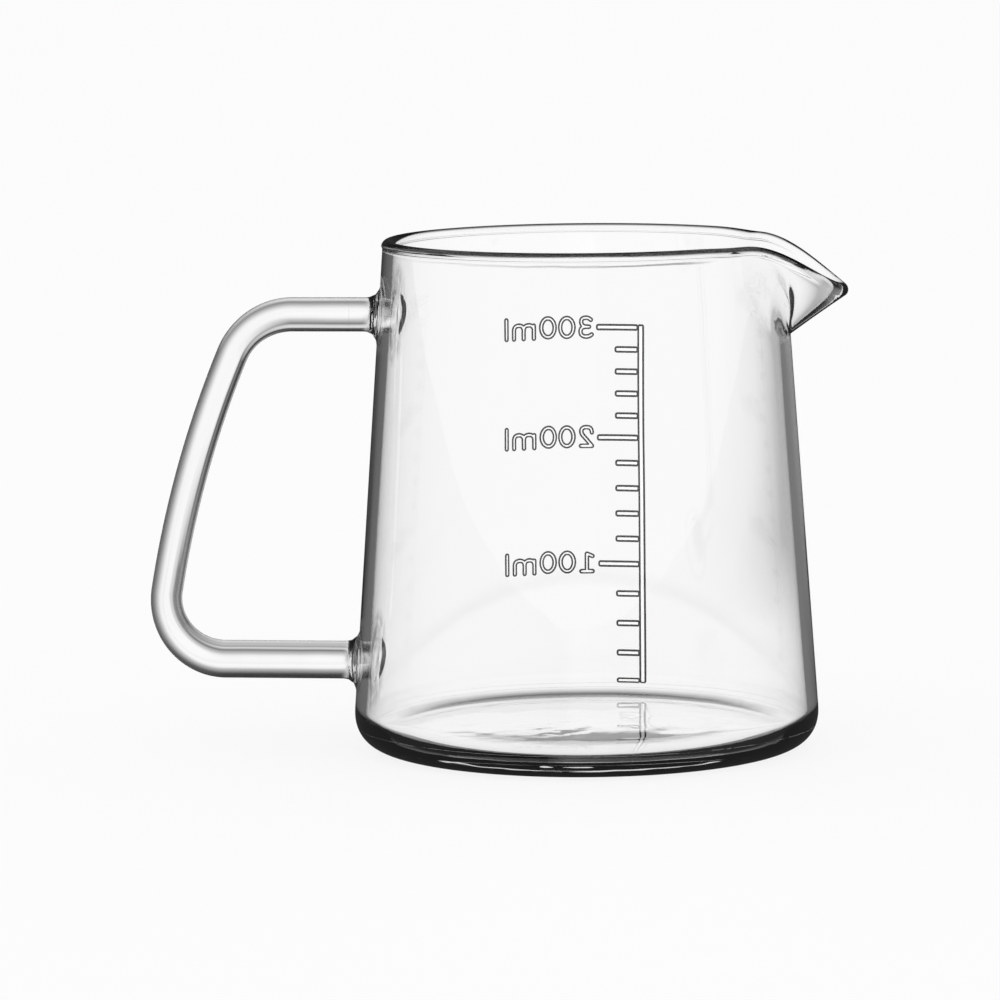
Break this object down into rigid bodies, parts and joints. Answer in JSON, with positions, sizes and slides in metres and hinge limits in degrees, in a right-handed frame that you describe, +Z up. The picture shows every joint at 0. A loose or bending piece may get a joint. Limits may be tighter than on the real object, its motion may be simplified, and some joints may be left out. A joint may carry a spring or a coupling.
{
  "type": "measuring jug",
  "caption": "Clear glass measuring jug with a tapered body, pulled pouring spout, bent glass rod handle and a white enamel scale in millilitres",
  "frame": {"origin": "Centre of the vessel's flat underside, on the vessel's axis", "axes": "+Z up, +X towards the pouring spout with the handle on -X, +Y towards the side that carries the scale"},
  "size_m": [0.1294, 0.0855, 0.0935],
  "materials": {
    "clear_glass": "clear, fire polished",
    "white_enamel": "fired enamel, low gloss",
    "dark_enamel": "fired enamel, low gloss"
  },
  "bodies": {
    "root": {"vessel": "clear_glass", "handle": "clear_glass", "scale_marks": "white_enamel", "scale_outline": "dark_enamel"}
  },
  "joints": []
}
